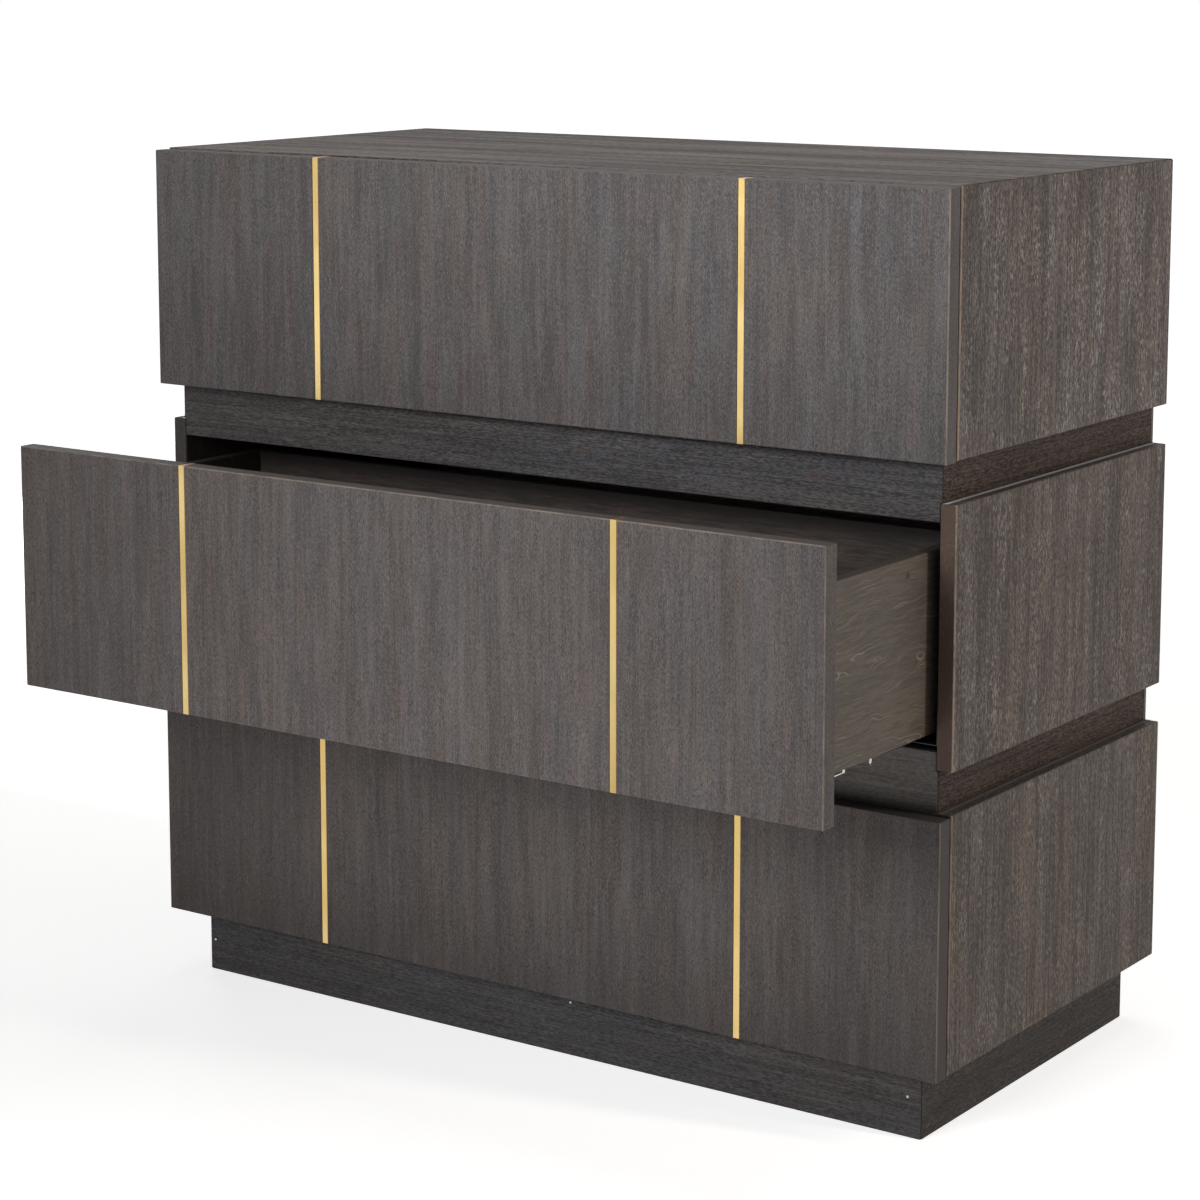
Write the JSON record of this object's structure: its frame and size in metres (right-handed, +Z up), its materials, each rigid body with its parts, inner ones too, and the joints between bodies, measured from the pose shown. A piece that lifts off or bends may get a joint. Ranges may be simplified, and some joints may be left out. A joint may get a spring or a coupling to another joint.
{
  "type": "accent chest",
  "caption": "Wide chest of drawers: stacked slab-front tiers parted by recessed bands, brass strips inlaid in the fronts, hidden undermount runners and a recessed plinth.",
  "frame": {"origin": "on the floor, under the middle of the closed chest, on the underside of the plinth's stretcher", "axes": "+Z up, the front faces -Y, +X to the right as seen from the front"},
  "size_m": [0.914, 0.644, 0.864],
  "materials": {
    "veneer": "wire-brushed, grey-brown stain with pale filled grain, matt lacquer",
    "band_veneer": "wire-brushed, dark grey stain with brown patches, matt lacquer",
    "box_plywood": "plywood, grey-brown stain, satin lacquer",
    "back_plywood": "plywood, dark stain, matt",
    "softwood": "planed, bare",
    "brass": "satin, pale gold",
    "zinc_steel": "bright zinc plating"
  },
  "bodies": {
    "case": {"back_panel": "back_plywood", "bottom_panel": "back_plywood", "lower_band_front_rail": "band_veneer", "lower_band_side_rail_left": "band_veneer", "lower_band_side_rail_right": "band_veneer", "lower_runner_cabinet_profile_left": "zinc_steel", "lower_runner_cabinet_profile_right": "zinc_steel", "lower_side_panel_left": "veneer", "lower_side_panel_right": "veneer", "middle_runner_cabinet_profile_left": "zinc_steel", "middle_runner_cabinet_profile_right": "zinc_steel", "middle_side_panel_left": "veneer", "middle_side_panel_right": "veneer", "plinth_back": "band_veneer", "plinth_front": "band_veneer", "plinth_left": "band_veneer", "plinth_right": "band_veneer", "plinth_stretcher": "softwood", "top_panel": "veneer", "upper_band_front_rail": "band_veneer", "upper_band_side_rail_left": "band_veneer", "upper_band_side_rail_right": "band_veneer", "upper_runner_cabinet_profile_left": "zinc_steel", "upper_runner_cabinet_profile_right": "zinc_steel", "upper_side_panel_left": "veneer", "upper_side_panel_right": "veneer"},
    "lower_drawer": {"lower_drawer_box_back": "box_plywood", "lower_drawer_box_bottom": "box_plywood", "lower_drawer_box_left": "box_plywood", "lower_drawer_box_right": "box_plywood", "lower_drawer_front": "veneer", "lower_drawer_inlay_left": "brass", "lower_drawer_inlay_right": "brass", "lower_runner_drawer_profile_left": "zinc_steel", "lower_runner_drawer_profile_right": "zinc_steel"},
    "lower_runners": {"lower_runner_middle_profile_left": "zinc_steel", "lower_runner_middle_profile_right": "zinc_steel"},
    "middle_drawer": {"middle_drawer_box_back": "box_plywood", "middle_drawer_box_bottom": "box_plywood", "middle_drawer_box_left": "box_plywood", "middle_drawer_box_right": "box_plywood", "middle_drawer_front": "veneer", "middle_drawer_inlay_left": "brass", "middle_drawer_inlay_right": "brass", "middle_runner_drawer_profile_left": "zinc_steel", "middle_runner_drawer_profile_right": "zinc_steel"},
    "middle_runners": {"middle_runner_middle_profile_left": "zinc_steel", "middle_runner_middle_profile_right": "zinc_steel"},
    "upper_drawer": {"upper_drawer_box_back": "box_plywood", "upper_drawer_box_bottom": "box_plywood", "upper_drawer_box_left": "box_plywood", "upper_drawer_box_right": "box_plywood", "upper_drawer_front": "veneer", "upper_drawer_inlay_left": "brass", "upper_drawer_inlay_right": "brass", "upper_runner_drawer_profile_left": "zinc_steel", "upper_runner_drawer_profile_right": "zinc_steel"},
    "upper_runners": {"upper_runner_middle_profile_left": "zinc_steel", "upper_runner_middle_profile_right": "zinc_steel"}
  },
  "joints": [
    {"name": "lower_drawer_slide", "type": "slide", "parent": "case", "child": "lower_drawer", "axis": [0, -1, 0], "range_m": [0, 0.28]},
    {"name": "lower_runner_slide", "type": "slide", "parent": "case", "child": "lower_runners", "axis": [0, -1, 0], "range_m": [0, 0.14]},
    {"name": "middle_drawer_slide", "type": "slide", "parent": "case", "child": "middle_drawer", "axis": [0, -1, 0], "range_m": [-0.2, 0.08]},
    {"name": "middle_runner_slide", "type": "slide", "parent": "case", "child": "middle_runners", "axis": [0, -1, 0], "range_m": [-0.1, 0.04]},
    {"name": "upper_drawer_slide", "type": "slide", "parent": "case", "child": "upper_drawer", "axis": [0, -1, 0], "range_m": [0, 0.28]},
    {"name": "upper_runner_slide", "type": "slide", "parent": "case", "child": "upper_runners", "axis": [0, -1, 0], "range_m": [0, 0.14]}
  ],
  "couplings": [
    {"joint": "lower_runner_slide", "follows": "lower_drawer_slide", "ratio": 0.5},
    {"joint": "middle_runner_slide", "follows": "middle_drawer_slide", "ratio": 0.5},
    {"joint": "upper_runner_slide", "follows": "upper_drawer_slide", "ratio": 0.5}
  ]
}
